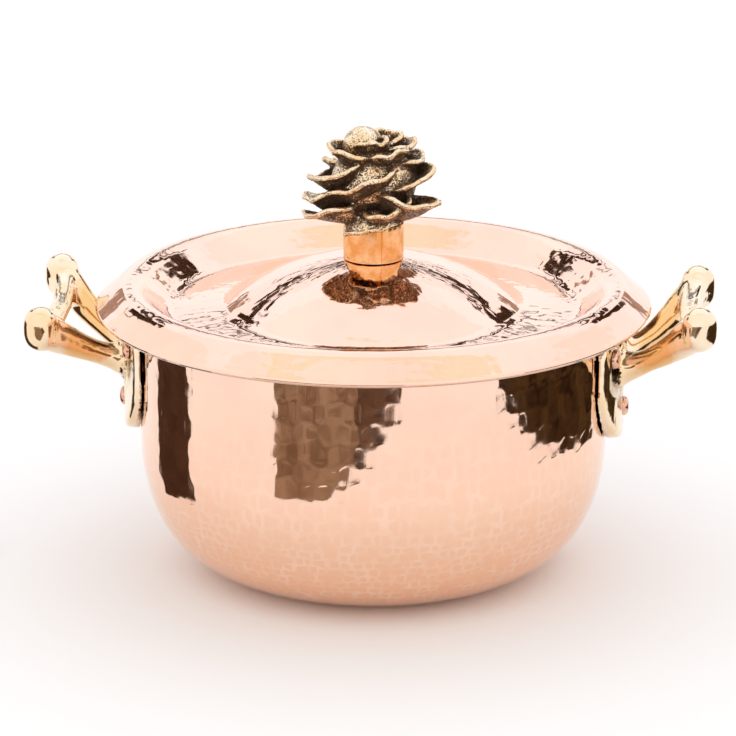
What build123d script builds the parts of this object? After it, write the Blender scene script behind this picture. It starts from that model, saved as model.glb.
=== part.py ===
from build123d import *
import os
from math import acos, asin, atan2, cos, hypot, radians, sin, sqrt, tan

# Pot: raised from one copper sheet
pot_radius = 120.0
pot_height = 145.1
pot_sheet = 2.0
base_radius = 56.8
belly_height = 73.3
belly_fullness = 0.65
rim_round = 0.7

# Tin wiped over the copper inside the pot and under the lid
tin = 0.5
seam_gap = 0.15

# Lid: one copper sheet with a sloping flange, a rounded crest, a sunken floor and a dome
lid_sheet = 1.8
flange_overhang = 22.0
crest_height = 12.2
crest_outset = 4.3
crest_round = 10.0
inner_slope = 43.0
floor_drop = 14.6
floor_width = 28.0
floor_rise = 1.2
floor_round = 7.0
dome_height = 25.7
dome_round = 9.0
lid_clearance = 0.4

# Handle: pad on the wall, two arms that swell into upright elbows, and a bowed cross bar between them
pad_half_width = 35.0
pad_centre_drop = 40.1
pad_lower_reach = 34.5
pad_upper_reach = 25.0
pad_corner = 10.0
pad_thickness = 9.0
pad_crown_radius = 68.0
pad_edge_round = 3.0
arm_root_spread = 12.0
arm_root_drop = 35.1
arm_root_width = 17.0
arm_root_depth = 22.0
arm_lead = 17.0
arm_lead_spread = 5.7
arm_lead_rise = 3.4
arm_waist_width = 12.5
arm_waist_depth = 13.0
arm_swell_width = 14.5
arm_swell_depth = 17.0
arm_end_width = 16.0
arm_end_depth = 19.0
elbow_outreach = 46.0
elbow_spread = 38.5
elbow_drop = 5.5
elbow_radius = 9.2
elbow_half_height = 12.0
left_front_sag = 6.5
bar_waist_radius = 5.6
bar_end_radius = 8.0
bar_bow = 4.5
bar_sag = 3.0

# Rivets: a shank through pad, copper and tin, with a head at each end
rivet_radius = 2.5
rivet_clearance = 0.15
rivet_head_radius = 5.2
rivet_head_height = 3.4
rivet_inner_height = 2.2
rivet_seat_depth = 1.0
rivet_dome = 0.85
lower_rivet_drop = 58.6
upper_rivet_drop = 26.1
upper_rivet_spread = 25.0

# Finial: sleeve, flower, screw and washer on the lid's axis
stem_radius = 15.4
stem_wall = 2.5
stem_height = 18.0
spigot_height = 3.0
screw_radius = 3.0
screw_hole_clearance = 0.4
thread_gap = 0.1
screw_bite = 14.0
screw_head_radius = 5.5
screw_head_height = 3.6
washer_radius = 9.0
washer_thickness = 1.5

# Flower: thick cupped petals climbing in a spiral round a bud
petals = 14
petal_turn = 137.5
petal_thickness = 2.6
petal_cup_radius = 24.0
petal_root_width = 9.0
petal_spread = 0.46
petal_shoulder = 1.3
petal_tip = 1.2
lower_petal_length = 37.0
lower_petal_height = 1.0
lower_petal_tilt = -3.0
upper_petal_length = 30.0
upper_petal_height = 17.0
upper_petal_tilt = 40.0
core_waist_radius = 10.5
bud_radius = 13.5
flower_height = 51.0

# Depths of the sheets below the lid's upper face, and of the pot's below its outer face
lid_tin_depth = lid_sheet + seam_gap
lid_inside = lid_tin_depth + tin
pot_tin_depth = pot_sheet + seam_gap
pot_inside = pot_tin_depth + tin

# Lid outline, measured from the flange's edge: slope, crest and sunken floor
flange_radius = pot_radius + flange_overhang
crest_radius = pot_radius + crest_outset
crest_centre = crest_height - crest_round
edge_distance = hypot(flange_radius - crest_radius, crest_centre)
crest_start = acos(crest_round / edge_distance) - atan2(crest_centre, flange_radius - crest_radius)
crest_outer = (crest_radius + crest_round * cos(crest_start), crest_centre + crest_round * sin(crest_start))
slope = radians(inner_slope)
crest_inner = (crest_radius - crest_round * sin(slope), crest_centre + crest_round * cos(slope))
floor_height = crest_height - floor_drop
floor_radius = crest_inner[0] - (crest_inner[1] - floor_height) / tan(slope)
dome_base = floor_radius - floor_width
dome_foot = floor_height + floor_rise
dome_radius = (dome_base**2 + dome_height**2) / (2 * dome_height)

# The lid's inner slope rests on the inner corner of the pot's rim
rim_inner_radius = pot_radius - pot_inside
inside_slope_radius = crest_inner[0] + lid_inside * sin(slope)
inside_slope_height = crest_inner[1] - lid_inside * cos(slope)
slope_under_rim = inside_slope_height - (inside_slope_radius - rim_inner_radius) * tan(slope)
flange_height = pot_height + lid_clearance - slope_under_rim
dome_top = flange_height + dome_foot + dome_height
dome_centre = dome_top - dome_radius
stem_top = dome_top + stem_height

# The lid's section is drawn from the flange's edge, X out from the axis and Y up
lid_plane = Plane(origin=(0, 0, flange_height), x_dir=(1, 0, 0), z_dir=(0, -1, 0))

# Handle's heights, from the base
pad_centre_height = pot_height - pad_centre_drop
arm_root_height = pot_height - arm_root_drop
elbow_height = pot_height - elbow_drop
elbow_reach = pot_radius + elbow_outreach
lower_rivet_height = pot_height - lower_rivet_drop
upper_rivet_height = pot_height - upper_rivet_drop

# Straight part of an elbow, above and below its middle
elbow_straight = elbow_half_height - elbow_radius

# Places of an arm's narrowest section and of its swell, as shares of its length
waist_station = 0.38
swell_station = 0.72

# Crowned face of the handle's pad and the flat seats of its rivets
pad_face = pot_radius + pad_thickness
crown_centre = pad_face - pad_crown_radius
upper_rivet_angle = asin(upper_rivet_spread / pad_face)


def crown_distance(angle):
    """Distance of the pad's crowned face from the pot's axis, along a line at an angle from X."""
    return crown_centre * cos(angle) + sqrt(pad_crown_radius**2 - (crown_centre * sin(angle)) ** 2)


rivets = [
    (0.0, lower_rivet_height),
    (upper_rivet_angle, upper_rivet_height),
    (-upper_rivet_angle, upper_rivet_height),
]


def rivet_plane(angle, height, distance, side):
    """Plane square to a rivet, at a distance from the pot's axis."""
    outward = Vector(side * cos(angle), side * sin(angle), 0)
    return Plane(origin=outward * distance + Vector(0, 0, height), x_dir=(0, 0, 1), z_dir=outward)


def bowl_line(inset):
    """Half outline of the bowl, inset from its outer face: wall, belly and base."""
    wall = pot_radius - inset
    belly_drop = belly_height - belly_fullness * (belly_height - inset)
    base_reach = base_radius + belly_fullness * (wall - base_radius)
    Line((wall, pot_height), (wall, belly_height))
    Bezier((wall, belly_height), (wall, belly_drop), (base_reach, inset), (base_radius, inset))
    Line((base_radius, inset), (0, inset))


def bowl_section(outer, inner):
    """Half section of the bowl between two insets from the pot's outer face."""
    with BuildSketch(Plane.XZ) as section:
        with BuildLine():
            bowl_line(outer)
            bowl_line(inner)
            Line((pot_radius - outer, pot_height), (pot_radius - inner, pot_height))
            Line((0, outer), (0, inner))
        make_face()
    return section.sketch


def rivet_holes(side, start):
    """Circles of one handle's rivet holes, square to the rivets, at a distance from the axis."""
    holes = []
    for angle, height in rivets:
        with BuildSketch(rivet_plane(angle, height, start, side)) as hole:
            Circle(rivet_radius + rivet_clearance)
        holes.append(hole.sketch)
    return holes


with BuildPart() as pot_shell:
    revolve(bowl_section(0, pot_sheet), axis=Axis.Z)
    rim = pot_shell.edges().filter_by(GeomType.CIRCLE).group_by(Axis.Z)[-1]
    fillet(rim.sort_by(SortBy.RADIUS)[-1], rim_round)
    for side in (1, -1):
        for hole in rivet_holes(side, pot_radius - pot_inside):
            extrude(hole, amount=pot_inside + seam_gap, mode=Mode.SUBTRACT)
pot_shell.part.label = "pot_shell"

with BuildPart() as pot_lining:
    revolve(bowl_section(pot_tin_depth, pot_inside), axis=Axis.Z)
    for side in (1, -1):
        for hole in rivet_holes(side, pot_radius - 2 * pot_inside):
            extrude(hole, amount=2 * pot_inside, mode=Mode.SUBTRACT)
pot_lining.part.label = "pot_lining"


def lid_section(depth, sheet):
    """Half section of one of the lid's sheets, at a depth below the lid's upper face."""
    half_dome = asin(dome_base / dome_radius) / 2
    dome_side = (dome_radius * sin(half_dome), dome_centre - flange_height + dome_radius * cos(half_dome))
    with BuildLine() as upper_face:
        Line((flange_radius, 0), crest_outer)
        ThreePointArc(crest_outer, (crest_radius, crest_height), crest_inner)
        Line(crest_inner, (floor_radius, floor_height))
        Line((floor_radius, floor_height), (dome_base, dome_foot))
        ThreePointArc((dome_base, dome_foot), dome_side, (0, dome_foot + dome_height))
        fillet(upper_face.vertices().sort_by(Axis.X)[2], floor_round)
        fillet(upper_face.vertices().sort_by(Axis.X)[1], dome_round)
    sides = [upper_face.wire()]
    for inset in (depth, depth + sheet):
        if inset > 0:
            sides.append(upper_face.wire().offset_2d(inset, side=Side.LEFT, closed=False))
    top, bottom = sides[-2:]
    axis_ends, flange_ends = [
        [side.vertices().sort_by(Axis.X)[end].center() for side in (top, bottom)] for end in (0, -1)
    ]
    with BuildSketch(lid_plane) as section:
        with BuildLine():
            add(top)
            add(bottom)
            Line(*axis_ends)
            Line(*flange_ends)
        make_face()
    return section.sketch


with BuildSketch(Plane.XY.offset(dome_top - 2 * lid_inside)) as screw_hole:
    Circle(screw_radius + screw_hole_clearance)

with BuildPart() as lid_shell:
    revolve(lid_section(0, lid_sheet), axis=Axis.Z)
    extrude(screw_hole.sketch, amount=3 * lid_inside, mode=Mode.SUBTRACT)
lid_shell.part.label = "lid_shell"

with BuildPart() as lid_lining:
    revolve(lid_section(lid_tin_depth, tin), axis=Axis.Z)
    extrude(screw_hole.sketch, amount=3 * lid_inside, mode=Mode.SUBTRACT)
lid_lining.part.label = "lid_lining"


def round_section(path, station, width, depth):
    """Elliptical section square to a path, with its width level, at a share of the path's length."""
    along = path % station
    across = Vector(0, 0, 1).cross(along)
    with BuildSketch(Plane(origin=path @ station, x_dir=across, z_dir=along)) as section:
        Ellipse(width / 2, depth / 2)
    return section.sketch


def arm_sections(hand, elbow_centre):
    """Sections along one arm of the handle: its root in the pad, its waist, its swell and its elbow."""
    root = Vector(pot_radius + pad_thickness / 2, hand * arm_root_spread, arm_root_height)
    lead = root + Vector(arm_lead, hand * arm_lead_spread, arm_lead_rise)
    path = Bezier(root, lead, elbow_centre)
    return [
        round_section(path, 0, arm_root_width, arm_root_depth),
        round_section(path, waist_station, arm_waist_width, arm_waist_depth),
        round_section(path, swell_station, arm_swell_width, arm_swell_depth),
        round_section(path, 1, arm_end_width, arm_end_depth),
    ]


def bar_sections(first, last):
    """Sections along the bowed cross bar, which swells into an elbow at each end."""
    middle = (first + last) / 2 - Vector(bar_bow, 0, bar_sag)
    path = ThreePointArc(first, middle, last)
    return [
        round_section(path, 0, 2 * bar_end_radius, 2 * bar_end_radius),
        round_section(path, 1 / 2, 2 * bar_waist_radius, 2 * bar_waist_radius),
        round_section(path, 1, 2 * bar_end_radius, 2 * bar_end_radius),
    ]


with BuildPart() as elbow:
    with BuildSketch(Plane.XZ):
        with BuildLine():
            Line((elbow_radius, -elbow_straight), (elbow_radius, elbow_straight))
            CenterArc((0, elbow_straight), elbow_radius, 0, 90)
            CenterArc((0, -elbow_straight), elbow_radius, -90, 90)
            Line((0, -elbow_half_height), (0, elbow_half_height))
        make_face()
    revolve(axis=Axis.Z)


def handle(elbow_heights):
    """One cast handle on the pot's right side, with the height of each arm's elbow."""
    with BuildPart() as casting:
        # Pad: crowned block cut to its outline, hollowed to lie on the wall
        with BuildSketch(Plane(origin=(crown_centre, 0, pad_centre_height - pad_lower_reach - pad_thickness))):
            Circle(pad_crown_radius)
        extrude(amount=pad_lower_reach + pad_upper_reach + 2 * pad_thickness)
        with BuildSketch(Plane.YZ.offset(crown_centre)) as pad_outline:
            with BuildLine():
                EllipticalCenterArc((0, pad_centre_height), pad_half_width, pad_lower_reach, 180, arc_size=180)
                Polyline(
                    (pad_half_width, pad_centre_height),
                    (pad_half_width, pad_centre_height + pad_upper_reach),
                    (-pad_half_width, pad_centre_height + pad_upper_reach),
                    (-pad_half_width, pad_centre_height),
                )
            make_face()
            fillet(pad_outline.vertices().group_by(Axis.Z)[-1], pad_corner)
        extrude(amount=pad_crown_radius + pad_thickness, mode=Mode.INTERSECT)
        with BuildSketch(Plane.XY):
            Circle(pot_radius + seam_gap)
        extrude(amount=pot_height, mode=Mode.SUBTRACT)
        fillet(casting.faces().sort_by(Axis.X)[-1].edges(), pad_edge_round)

        # Arms, elbows and cross bar
        elbow_centres = []
        for hand, height in zip((1, -1), elbow_heights):
            elbow_centres.append(Vector(elbow_reach, hand * elbow_spread, height))
            loft(arm_sections(hand, elbow_centres[-1]))
            with Locations(elbow_centres[-1]):
                add(elbow.part)
        loft(bar_sections(*elbow_centres))

        # Flat seats for the rivet heads and the holes for their shanks
        for angle, height in rivets:
            seat = crown_distance(angle) - rivet_seat_depth
            with BuildSketch(rivet_plane(angle, height, seat, 1)):
                Circle(rivet_head_radius + rivet_clearance)
            extrude(amount=rivet_head_height + rivet_seat_depth, mode=Mode.SUBTRACT)
        for hole in rivet_holes(1, pot_radius - pad_thickness):
            extrude(hole, amount=3 * pad_thickness, mode=Mode.SUBTRACT)
    return casting.part


with BuildPart() as right_handle:
    add(handle((elbow_height, elbow_height)))
right_handle.part.label = "right_handle"

# The left handle's front arm hangs lower than its back arm
with BuildPart() as left_handle:
    add(handle((elbow_height - left_front_sag, elbow_height)), rotation=(0, 0, 180))
left_handle.part.label = "left_handle"


def rivet(angle, height, side):
    """Rivet through the pad and both sheets, with a round head at each end."""
    seat = crown_distance(angle) - rivet_seat_depth
    inner_face = sqrt((pot_radius - pot_inside) ** 2 - rivet_head_radius**2) - seam_gap
    with BuildPart() as shank:
        with BuildSketch(rivet_plane(angle, height, inner_face - rivet_inner_height, side)):
            Circle(rivet_head_radius)
        extrude(amount=rivet_inner_height)
        with BuildSketch(rivet_plane(angle, height, inner_face, side)):
            Circle(rivet_radius)
        extrude(amount=seat - inner_face)
        with BuildSketch(rivet_plane(angle, height, seat, side)):
            Circle(rivet_head_radius)
        extrude(amount=rivet_head_height)
        outward = Axis((0, 0, height), (side * cos(angle), side * sin(angle), 0))
        rings = shank.edges().filter_by(GeomType.CIRCLE).group_by(outward)
        fillet(rings[0], rivet_inner_height * rivet_dome)
        rings = shank.edges().filter_by(GeomType.CIRCLE).group_by(outward)
        fillet(rings[-1], rivet_head_height * rivet_dome)
    return shank.part


with BuildPart() as right_handle_rivets:
    for angle, height in rivets:
        add(rivet(angle, height, 1))
right_handle_rivets.part.label = "right_handle_rivets"

with BuildPart() as left_handle_rivets:
    for angle, height in rivets:
        add(rivet(angle, height, -1))
left_handle_rivets.part.label = "left_handle_rivets"

with BuildPart() as finial_stem:
    with BuildSketch(Plane.XY.offset(dome_top - stem_wall)):
        Circle(stem_radius)
        Circle(stem_radius - stem_wall, mode=Mode.SUBTRACT)
    extrude(amount=stem_height + stem_wall)
    with Locations((0, 0, dome_centre)):
        Sphere(dome_radius + seam_gap, mode=Mode.SUBTRACT)
finial_stem.part.label = "finial_stem"


def petal(length, tilt):
    """Cupped petal from the flower's axis out along X to its rounded tip, tipped up by tilt."""
    half_width = length * petal_spread
    with BuildPart() as blade:
        with BuildSketch(Plane.XY.offset(-petal_thickness)):
            with BuildLine():
                Bezier(
                    (0, petal_root_width / 2),
                    (length / 3, petal_shoulder * half_width),
                    (length, petal_tip * half_width),
                    (length, 0),
                )
                Line((0, petal_root_width / 2), (0, 0))
                mirror(about=Plane.XZ)
            make_face()
        extrude(amount=petal_cup_radius)
        with Locations((length / 2, 0, petal_cup_radius)):
            Sphere(petal_cup_radius, mode=Mode.INTERSECT)
            Sphere(petal_cup_radius - petal_thickness, mode=Mode.SUBTRACT)
    return blade.part.rotate(Axis.Y, -tilt)


with BuildPart() as finial_flower:
    # Core that sits on the sleeve, with a spigot inside it and a round bud on top
    bud_centre = stem_top + flower_height - bud_radius
    with BuildSketch(Plane.XZ):
        with BuildLine():
            Polyline(
                (0, stem_top - spigot_height),
                (stem_radius - stem_wall - seam_gap, stem_top - spigot_height),
                (stem_radius - stem_wall - seam_gap, stem_top),
                (stem_radius, stem_top),
            )
            Spline(
                (stem_radius, stem_top),
                (core_waist_radius, stem_top + upper_petal_height),
                (bud_radius, bud_centre),
                tangents=((0, 1), (0, 1)),
            )
            CenterArc((0, bud_centre), bud_radius, 0, 90)
            Line((0, stem_top + flower_height), (0, stem_top - spigot_height))
        make_face()
    revolve(axis=Axis.Z)
    for place in range(petals):
        share = place / (petals - 1)
        length = lower_petal_length + share * (upper_petal_length - lower_petal_length)
        tilt = lower_petal_tilt + share * (upper_petal_tilt - lower_petal_tilt)
        root = stem_top + lower_petal_height + share * (upper_petal_height - lower_petal_height)
        with Locations(Location((0, 0, root), (0, 0, place * petal_turn))):
            add(petal(length, tilt))
    with BuildSketch(Plane.XY.offset(stem_top - spigot_height)):
        Circle(screw_radius + thread_gap)
    extrude(amount=spigot_height + screw_bite, mode=Mode.SUBTRACT)
finial_flower.part.label = "finial_flower"

# Washer under the dome and the screw through it, up the sleeve and into the flower
washer_top = dome_centre + sqrt((dome_radius - lid_inside) ** 2 - washer_radius**2) - seam_gap
washer_bottom = washer_top - washer_thickness

with BuildPart() as finial_washer:
    with BuildSketch(Plane.XY.offset(washer_bottom)):
        Circle(washer_radius)
        Circle(screw_radius + screw_hole_clearance, mode=Mode.SUBTRACT)
    extrude(amount=washer_thickness)
finial_washer.part.label = "finial_washer"

with BuildPart() as finial_screw:
    with BuildSketch(Plane.XY.offset(washer_bottom - screw_head_height)):
        Circle(screw_head_radius)
    extrude(amount=screw_head_height)
    fillet(finial_screw.edges().group_by(Axis.Z)[0], screw_head_height / 3)
    with BuildSketch(Plane.XY.offset(washer_bottom)):
        Circle(screw_radius)
    extrude(amount=stem_top + screw_bite - thread_gap - spigot_height - washer_bottom)
finial_screw.part.label = "finial_screw"

os.makedirs("parts", exist_ok=True)
for piece in (
    pot_shell, pot_lining, right_handle, left_handle, right_handle_rivets, left_handle_rivets,
    lid_shell, lid_lining, finial_stem, finial_flower, finial_screw, finial_washer,
):
    export_step(piece.part, f"parts/{piece.part.label}.step")
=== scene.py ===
"""Hammered copper serving pan: raised pot, lift-off lid, cast stirrup handles and a cast flower knob."""

import logging
import math
from collections.abc import Sequence
from dataclasses import dataclass, field
from enum import Enum

import bpy
import numpy as np
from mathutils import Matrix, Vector, noise
from mathutils.bvhtree import BVHTree

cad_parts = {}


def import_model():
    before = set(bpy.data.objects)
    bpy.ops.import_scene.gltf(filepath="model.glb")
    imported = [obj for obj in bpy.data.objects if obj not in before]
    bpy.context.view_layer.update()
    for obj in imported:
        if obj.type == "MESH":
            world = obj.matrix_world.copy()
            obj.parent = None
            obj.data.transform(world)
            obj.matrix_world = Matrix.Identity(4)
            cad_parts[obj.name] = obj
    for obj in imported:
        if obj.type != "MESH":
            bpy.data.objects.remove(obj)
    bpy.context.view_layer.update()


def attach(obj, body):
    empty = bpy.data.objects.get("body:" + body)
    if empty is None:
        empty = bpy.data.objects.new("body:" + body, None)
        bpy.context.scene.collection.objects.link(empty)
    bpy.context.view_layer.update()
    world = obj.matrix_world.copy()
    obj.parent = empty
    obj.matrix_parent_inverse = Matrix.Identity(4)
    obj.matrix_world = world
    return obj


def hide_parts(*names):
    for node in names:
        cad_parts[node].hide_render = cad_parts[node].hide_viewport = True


MM = 0.001
# A colour mix node's colour sockets, which share their names with its other sockets
COLOUR_A, COLOUR_B, COLOUR_RESULT = 6, 7, 2
LOG = logging.getLogger("serving_pan")

# Two numbers that belong together, such as a radius and a height
Point = tuple[float, float]


class Body(Enum):
    """The two bodies that the pieces ride on."""

    POT = "pot"
    LID = "lid"


class Slot(Enum):
    """Material slots that the visual pieces take."""

    COPPER = "hammered_copper"
    CAST = "cast_bronze"
    RIVET = "copper_rivet"
    SLEEVE = "polished_bronze"
    FLOWER = "antiqued_bronze"


# Colour and node helpers


def linear(hex_colour: str) -> tuple[float, float, float, float]:
    """Turn an sRGB hex colour to linear.

    Args:
        hex_colour: Six hex digits, such as "e8a27c".

    Returns:
        Linear red, green, blue and an alpha of 1.
    """
    channels = [int(hex_colour[i:i + 2], 16) / 255 for i in (0, 2, 4)]
    turned = [c / 12.92 if c <= 0.04045 else ((c + 0.055) / 1.055) ** 2.4 for c in channels]
    return turned[0], turned[1], turned[2], 1.0


def add_node(
    tree: bpy.types.NodeTree,
    kind: str,
    inputs: dict[str | int, object] | None = None,
    **settings: object,
) -> bpy.types.Node:
    """Add a node with its settings, and set or link its inputs.

    Args:
        tree: The tree that gets the node.
        kind: The node's type name.
        inputs: A constant or an output socket for each named or numbered input.
        **settings: Attributes of the node.

    Returns:
        The new node.
    """
    node = tree.nodes.new(kind)
    for name, value in settings.items():
        setattr(node, name, value)
    for name, value in (inputs or {}).items():
        if isinstance(value, bpy.types.NodeSocket):
            tree.links.new(value, node.inputs[name])
        else:
            node.inputs[name].default_value = value
    return node


def per_metre(size_mm: float) -> float:
    """Texture scale that gives a pattern a size in millimetres, in metre coordinates."""
    return 1 / (size_mm * MM)


@dataclass(frozen=True)
class Metal:
    """A bare metal surface: two tones in slow patches, a polish and a fine unevenness.

    Attributes:
        name: The material's name.
        tone: Hex colour of most of the surface.
        second_tone: Hex colour of the patches.
        patch: Size of the patches, in mm.
        polish: Lowest and highest roughness.
        smear: Size of the smears in the polish, in mm.
        grain: Size of the surface's fine unevenness, in mm.
        grain_height: Height of the unevenness, in mm.
        stretch: How far each axis stretches the grain, such as along a polishing direction.
    """

    name: str
    tone: str
    second_tone: str
    patch: float
    polish: tuple[float, float]
    smear: float
    grain: float
    grain_height: float
    stretch: tuple[float, float, float] = (1.0, 1.0, 1.0)

    def material(self) -> bpy.types.Material:
        """Build the material.

        Returns:
            The material, with its shader wired.
        """
        made = bpy.data.materials.new(self.name)
        made.use_nodes = True
        tree = made.node_tree
        shader = tree.nodes["Principled BSDF"]
        shader.inputs["Metallic"].default_value = 1.0
        place = add_node(tree, "ShaderNodeTexCoord").outputs["Object"]
        self.colour(tree, shader, place)
        self.gloss(tree, shader, place)
        self.surface(tree, shader, place)
        return made

    def colour(
        self, tree: bpy.types.NodeTree, shader: bpy.types.Node, place: bpy.types.NodeSocket,
    ) -> None:
        """Mix the two tones in slow patches.

        Args:
            tree: The material's tree.
            shader: Its Principled shader.
            place: Object coordinates.
        """
        patches = add_node(tree, "ShaderNodeTexNoise", {
            "Vector": place, "Scale": per_metre(self.patch), "Detail": 3.0, "Roughness": 0.55,
        })
        ramp = add_node(tree, "ShaderNodeMapRange", {
            "Value": patches.outputs["Fac"], "From Min": 0.38, "From Max": 0.62,
        })
        mixed = add_node(tree, "ShaderNodeMix", {
            0: ramp.outputs["Result"], COLOUR_A: linear(self.tone), COLOUR_B: linear(self.second_tone),
        }, data_type="RGBA")
        tree.links.new(mixed.outputs[COLOUR_RESULT], shader.inputs["Base Color"])

    def gloss(
        self, tree: bpy.types.NodeTree, shader: bpy.types.Node, place: bpy.types.NodeSocket,
    ) -> None:
        """Vary the roughness in smears left by the polishing cloth.

        Args:
            tree: The material's tree.
            shader: Its Principled shader.
            place: Object coordinates.
        """
        smears = add_node(tree, "ShaderNodeTexNoise", {
            "Vector": place, "Scale": per_metre(self.smear), "Detail": 4.0,
        })
        low, high = self.polish
        rough = add_node(tree, "ShaderNodeMapRange", {
            "Value": smears.outputs["Fac"], "From Min": 0.3, "From Max": 0.7, "To Min": low, "To Max": high,
        })
        tree.links.new(rough.outputs["Result"], shader.inputs["Roughness"])

    def surface(
        self, tree: bpy.types.NodeTree, shader: bpy.types.Node, place: bpy.types.NodeSocket,
    ) -> None:
        """Raise the fine unevenness as a bump.

        Args:
            tree: The material's tree.
            shader: Its Principled shader.
            place: Object coordinates.
        """
        stretched = add_node(tree, "ShaderNodeMapping", {"Vector": place, "Scale": self.stretch})
        grain = add_node(tree, "ShaderNodeTexNoise", {
            "Vector": stretched.outputs["Vector"], "Scale": per_metre(self.grain), "Detail": 2.0,
        })
        bump = add_node(tree, "ShaderNodeBump", {
            "Height": grain.outputs["Fac"], "Distance": self.grain_height * MM, "Strength": 1.0,
        })
        tree.links.new(bump.outputs["Normal"], shader.inputs["Normal"])


@dataclass(frozen=True)
class HammeredMetal(Metal):
    """A hammered sheet: a painted highlight along the marks' ridges, and a painted warm floor reflection
    low down.

    Attributes:
        ridge_highlight_tone: Hex colour of the painted highlight on the ridges.
        ridge_width: Width of a ridge's line, as a share of a mark.
        ridge_height: Height of the line's crisp edge, in mm.
        low_reflection_tone: Hex colour of the lower part, a painted warm reflection of the floor.
        heights: Heights between which the sheet turns from the painted floor reflection and strong ridge
            highlights, in mm.
        top_share: How much of the painted floor reflection and the ridge highlights is left above them.
        fading: Size of the patches in which the ridges' painted highlight fades, in mm.
    """

    # Painted highlight: the light tone along the ridges
    ridge_highlight_tone: str = "fcdac4"
    ridge_width: float = 0.07
    ridge_height: float = 0.008
    # Painted reflection: the floor's warm tone on the lower part
    low_reflection_tone: str = "f8c9a9"
    heights: Point = (20.0, 125.0)
    top_share: float = 0.15
    fading: float = 9.0

    def material(self) -> bpy.types.Material:
        """Build the material, with a painted highlight on the marks' ridges over the two tones.

        Returns:
            The material, with its shader wired.
        """
        made = super().material()
        tree = made.node_tree
        shader = tree.nodes["Principled BSDF"]
        base, normal = shader.inputs["Base Color"], shader.inputs["Normal"]
        place = add_node(tree, "ShaderNodeTexCoord").outputs["Object"]
        low, line = self.lowness(tree, place), self.ridges(tree)
        fading = add_node(tree, "ShaderNodeTexNoise", {
            "Vector": place, "Scale": per_metre(self.fading), "Detail": 3.0,
        })
        strength = add_node(tree, "ShaderNodeMapRange", {
            "Value": fading.outputs["Fac"], "From Min": 0.35, "From Max": 0.65,
        })
        seen = add_node(tree, "ShaderNodeMath", {
            0: strength.outputs["Result"], 1: low,
        }, operation="MULTIPLY")
        share = add_node(tree, "ShaderNodeMath", {0: line, 1: seen.outputs[0]}, operation="MULTIPLY")
        # Painted reflection: the floor's warm tone, strongest low on the pot
        cells = add_node(tree, "ShaderNodeMix", {
            0: low, COLOUR_A: base.links[0].from_socket, COLOUR_B: linear(self.low_reflection_tone),
        }, data_type="RGBA")
        # Painted highlight: a lighter tone along the ridges, strongest low on the pot and fading in patches
        mixed = add_node(tree, "ShaderNodeMix", {
            0: share.outputs[0], COLOUR_A: cells.outputs[COLOUR_RESULT], COLOUR_B: linear(self.ridge_highlight_tone),
        }, data_type="RGBA")
        crisp = add_node(tree, "ShaderNodeBump", {
            "Height": line, "Distance": self.ridge_height * MM, "Normal": normal.links[0].from_socket,
        })
        tree.links.new(mixed.outputs[COLOUR_RESULT], base)
        tree.links.new(crisp.outputs["Normal"], normal)
        return made

    def lowness(self, tree: bpy.types.NodeTree, place: bpy.types.NodeSocket) -> bpy.types.NodeSocket:
        """Measure how low a place is on the sheet.

        Args:
            tree: The material's tree.
            place: Object coordinates.

        Returns:
            1 under the lower height, falling to the top share at the upper one.
        """
        height = add_node(tree, "ShaderNodeSeparateXYZ", {0: place}).outputs["Z"]
        bottom, top = self.heights
        return add_node(tree, "ShaderNodeMapRange", {
            "Value": height, "From Min": bottom * MM, "From Max": top * MM, "To Min": 1.0,
            "To Max": self.top_share,
        }).outputs["Result"]

    def ridges(self, tree: bpy.types.NodeTree) -> bpy.types.NodeSocket:
        """Draw the ridges on the marks' own coordinates, where each mark is one unit wide and high; the
        line carries the ridges' painted highlight and their bump.

        Args:
            tree: The material's tree.

        Returns:
            1 on a ridge and 0 inside a mark.
        """
        marks = add_node(tree, "ShaderNodeUVMap", uv_map="marks").outputs["UV"]
        cell = add_node(tree, "ShaderNodeVectorMath", {0: marks}, operation="FRACTION")
        offset = add_node(tree, "ShaderNodeVectorMath", {
            0: cell.outputs["Vector"], 1: (0.5, 0.5, 0.5),
        }, operation="SUBTRACT")
        away = add_node(tree, "ShaderNodeVectorMath", {0: offset.outputs["Vector"]}, operation="ABSOLUTE")
        sides = add_node(tree, "ShaderNodeSeparateXYZ", {0: away.outputs["Vector"]}).outputs
        side = add_node(tree, "ShaderNodeMath", {0: sides["X"], 1: sides["Y"]}, operation="MAXIMUM")
        reach = add_node(tree, "ShaderNodeVectorMath", {0: away.outputs["Vector"]}, operation="LENGTH")
        edge = add_node(tree, "ShaderNodeMath", {
            0: side.outputs[0], 1: reach.outputs["Value"],
        }, operation="ADD")
        return add_node(tree, "ShaderNodeMapRange", {
            "Value": edge.outputs[0], "From Min": 1 - 2 * self.ridge_width, "From Max": 1.08,
        }, interpolation_type="SMOOTHSTEP").outputs["Result"]


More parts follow.
